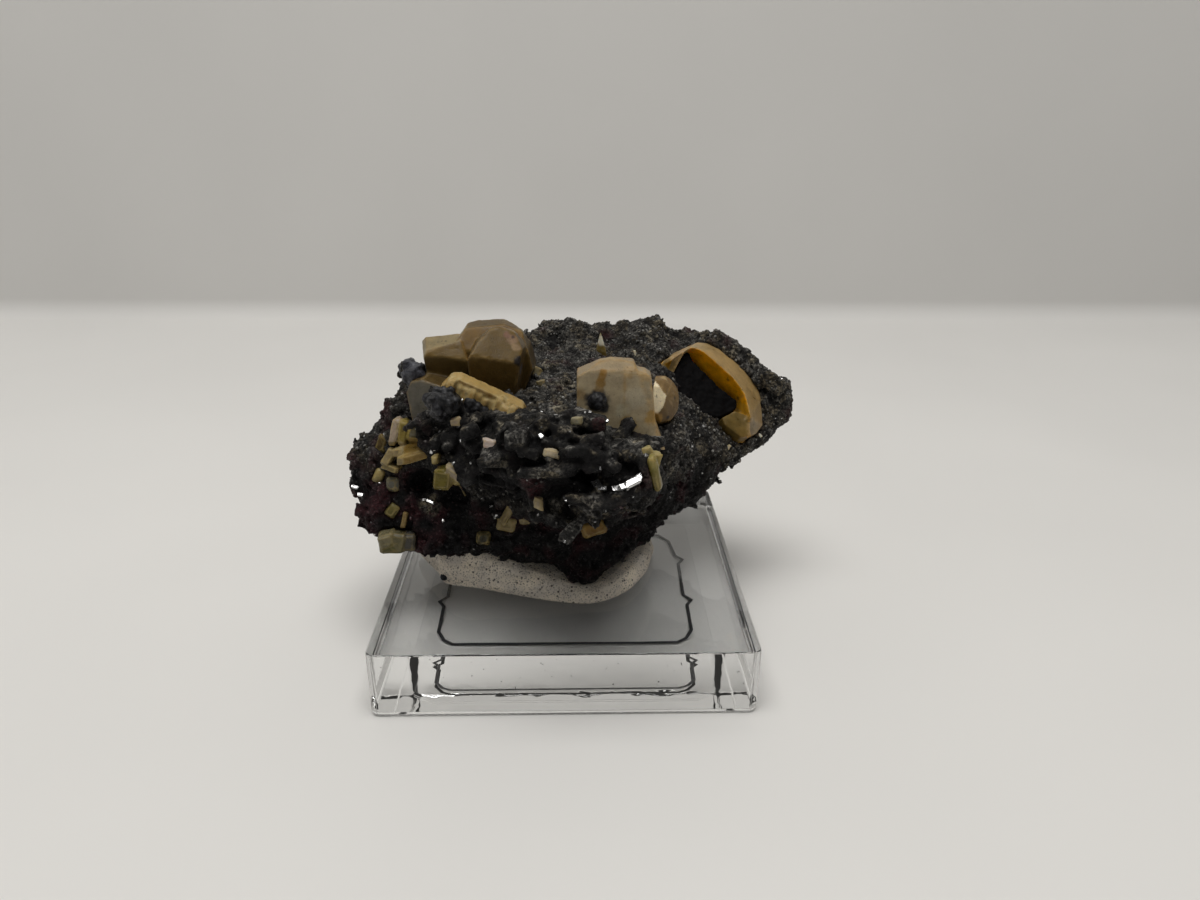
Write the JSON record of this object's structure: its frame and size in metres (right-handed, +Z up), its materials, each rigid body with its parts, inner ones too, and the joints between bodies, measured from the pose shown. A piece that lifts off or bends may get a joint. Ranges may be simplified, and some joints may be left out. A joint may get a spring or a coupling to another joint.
{
  "type": "wulfenite crystals on dark gossan matrix with display base",
  "caption": "Tan tabular wulfenite crystals on a dark iron and manganese oxide matrix, set with putty on a small clear acrylic base.",
  "frame": {"origin": "centre of the base's underside, on the surface it stands on", "axes": "+Z up, -Y towards the viewer in front, +X to the viewer's right"},
  "size_m": [0.0501, 0.0408, 0.035],
  "materials": {
    "clear_acrylic": "clear polished acrylic, slightly grey at the edges",
    "clear_film": "thin clear film with a plain dark border",
    "putty": "soft matt mineral tack with dark peppering",
    "rock": "rough granular charcoal rock with maroon patches",
    "tan_crystal": "waxy translucent tan crystal",
    "pale_crystal": "waxy translucent grey tan crystal",
    "cream_crystal": "ribbed cream crystal with amber bands",
    "amber_crystal": "translucent honey crystal with pale outer facets",
    "olive_crystal": "translucent olive yellow crystal"
  },
  "bodies": {
    "root": {"acrylic_base": "clear_acrylic", "label_film": "clear_film", "putty_pad": "putty", "matrix_rock": "rock", "crystal_cluster_left": "tan_crystal", "crystal_blade": "cream_crystal", "crystal_centre": "pale_crystal", "crystal_round": "cream_crystal", "crystal_sliver": "cream_crystal", "crystal_right": "amber_crystal", "crystal_left_cup": "olive_crystal", "crystal_left_chip": "olive_crystal", "crystal_left_grey": "olive_crystal", "crystal_left_outer": "olive_crystal", "crystal_middle_block": "olive_crystal", "crystal_low_left": "olive_crystal", "crystal_wall": "olive_crystal", "crystal_under_pair": "cream_crystal", "crystal_under_blade": "cream_crystal", "crystal_under_stub": "cream_crystal", "crystal_under_tooth": "cream_crystal", "crystal_wall_square": "olive_crystal", "crystal_under_amber": "amber_crystal", "crystal_rim_green": "olive_crystal"}
  },
  "joints": []
}
